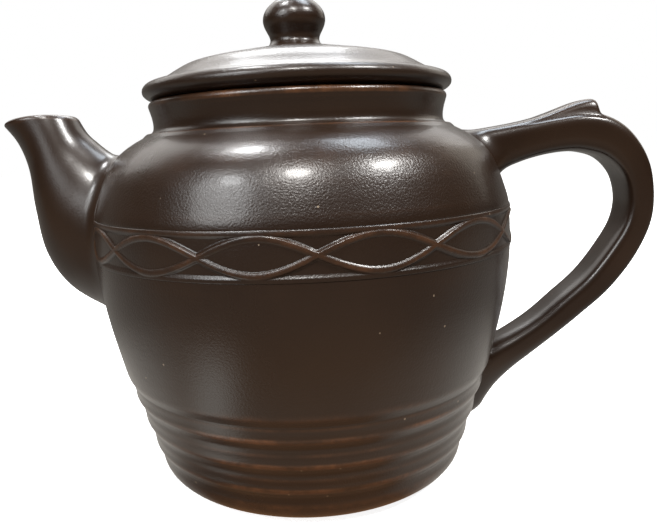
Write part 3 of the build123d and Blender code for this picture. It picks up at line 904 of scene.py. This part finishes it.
def make_floor():
    """A plain pale floor to the eye, large enough for every view; to every other ray it glows with
    a painted reflection of the table.
    """
    work = bmesh.new()
    bmesh.ops.create_circle(work, cap_ends=True, segments=96, radius=FLOOR_RADIUS)
    mesh = bpy.data.meshes.new("floor")
    work.to_mesh(mesh)
    work.free()
    floor = bpy.data.objects.new("floor", mesh)
    bpy.context.scene.collection.objects.link(floor)
    material = bpy.data.materials.new("pale_floor")
    material.use_nodes = True
    tree = material.node_tree
    shader = tree.nodes["Principled BSDF"]
    seen = add(tree, "ShaderNodeLightPath").outputs["Is Camera Ray"]
    place = add(tree, "ShaderNodeTexCoord").outputs["Object"]
    axes = add(tree, "ShaderNodeSeparateXYZ")
    tree.links.new(place, axes.inputs[0])
    length = add(tree, "ShaderNodeVectorMath", operation="LENGTH")
    tree.links.new(place, length.inputs[0])
    reach = length.outputs["Value"]
    # Painted reflection: to every ray but the eye's the floor is dark and glows with the painted
    # table.
    tree.links.new(mixed(tree, seen, FLOOR_UNSEEN, FLOOR_SEEN), shader.inputs["Base Color"])
    tree.links.new(mixed(tree, seen, painted_table_reflection(tree, axes, reach), (1, 1, 1, 1)),
                   shader.inputs["Emission Color"])
    strength = add(tree, "ShaderNodeMix")
    tree.links.new(seen, strength.inputs["Factor"])
    strength.inputs["A"].default_value = 1.0
    tree.links.new(ranged(tree, graded(tree, reach, 0.25, 0.75), 0.90, 1.0),
                   strength.inputs["B"])
    tree.links.new(strength.outputs["Result"], shader.inputs["Emission Strength"])
    shader.inputs["Roughness"].default_value = 0.9
    floor.data.materials.append(material)


make_floor()


LIGHT_TARGET = Vector((0, 0, 0.09))


def soft_light(name, turn, elevation, distance, wide, tall, power, colour, round_shape=False):
    """A soft light, turn degrees round from the front towards +X and elevation degrees up.

    Distance, width and height are in metres and the power in watts."""
    data = bpy.data.lights.new(name, "AREA")
    data.shape = "ELLIPSE" if round_shape else "RECTANGLE"
    data.size = wide
    data.size_y = tall
    data.energy = power
    data.color = colour
    light = bpy.data.objects.new(name, data)
    a, e = radians(turn), radians(elevation)
    way = Vector((sin(a) * cos(e), -cos(a) * cos(e), sin(e)))
    light.location = LIGHT_TARGET + way * distance
    light.rotation_mode = "QUATERNION"
    light.rotation_quaternion = (-way).to_track_quat("-Z", "Y")
    bpy.context.scene.collection.objects.link(light)


soft_light("lamp_front", -2, 51, 1.6, 0.32, 0.22, 17, (1.0, 0.98, 0.95), True)
soft_light("lamp_right", 60, 48, 1.6, 0.38, 0.24, 20, (1.0, 0.99, 0.97), True)
soft_light("lamp_left", -44, 42, 1.6, 0.28, 0.24, 4.4, (0.97, 0.99, 1.0), True)
soft_light("lamp_top", -113, 73, 1.6, 0.34, 0.28, 14, (0.98, 0.99, 1.0), True)
soft_light("window_over_handle", 132, 68, 1.5, 0.60, 0.38, 8, (0.82, 0.91, 1.0))
soft_light("window_back", 182, 46, 1.8, 0.75, 0.42, 8, (0.95, 0.98, 1.0))
soft_light("window_back_wide", 189, 43, 1.9, 3.9, 1.0, 21, (1.0, 0.98, 0.95))
soft_light("window_right", 124, 24, 1.7, 0.8, 0.8, 1.7, (1.0, 0.92, 0.80))
soft_light("window_left", -44, 31, 0.7, 0.36, 0.36, 1.9, (0.97, 0.99, 1.0), True)

# The room is dim and warm in front of the pot and paler behind it; the eye sees white.
ROOM_FRONT = (0.026, 0.018, 0.013, 1)
ROOM_BACK = (0.20, 0.19, 0.175, 1)
world = bpy.data.worlds.new("studio")
bpy.context.scene.world = world
world.use_nodes = True
tree = world.node_tree
background = tree.nodes["Background"]
seen = add(tree, "ShaderNodeLightPath").outputs["Is Camera Ray"]
compass = add(tree, "ShaderNodeSeparateXYZ")
tree.links.new(add(tree, "ShaderNodeTexCoord").outputs["Generated"], compass.inputs[0])
behind = graded(tree, compass.outputs["Y"], 0.0, 0.9)
room = mixed(tree, behind, ROOM_FRONT, ROOM_BACK)
tree.links.new(mixed(tree, seen, room, (1.0, 1.0, 1.0, 1)), background.inputs["Color"])
bpy.context.scene.view_settings.view_transform = "Standard"

# The camera stands close in front, a little above the band, and looks slightly down.
EYE = Vector((0, -0.264, 0.1289))
PITCH = radians(10.204)
YAW = radians(0.372)
ROLL = radians(-2.372)
ahead = Vector((sin(YAW) * cos(PITCH), cos(YAW) * cos(PITCH), -sin(PITCH)))
level = Vector((cos(YAW), -sin(YAW), 0))
above = level.cross(ahead)
across = cos(ROLL) * level + sin(ROLL) * above
above = cos(ROLL) * above - sin(ROLL) * level
camera_data = bpy.data.cameras.new("camera")
camera_data.lens = 35.2
camera_data.sensor_width = 36
camera_data.shift_x = 0.0303
camera_data.shift_y = 0.0064
camera_data.clip_start = 0.01
camera = bpy.data.objects.new("camera", camera_data)
facing = Matrix((across, above, -ahead)).transposed().to_4x4()
camera.matrix_world = Matrix.Translation(EYE) @ facing
bpy.context.scene.collection.objects.link(camera)
bpy.context.scene.camera = camera
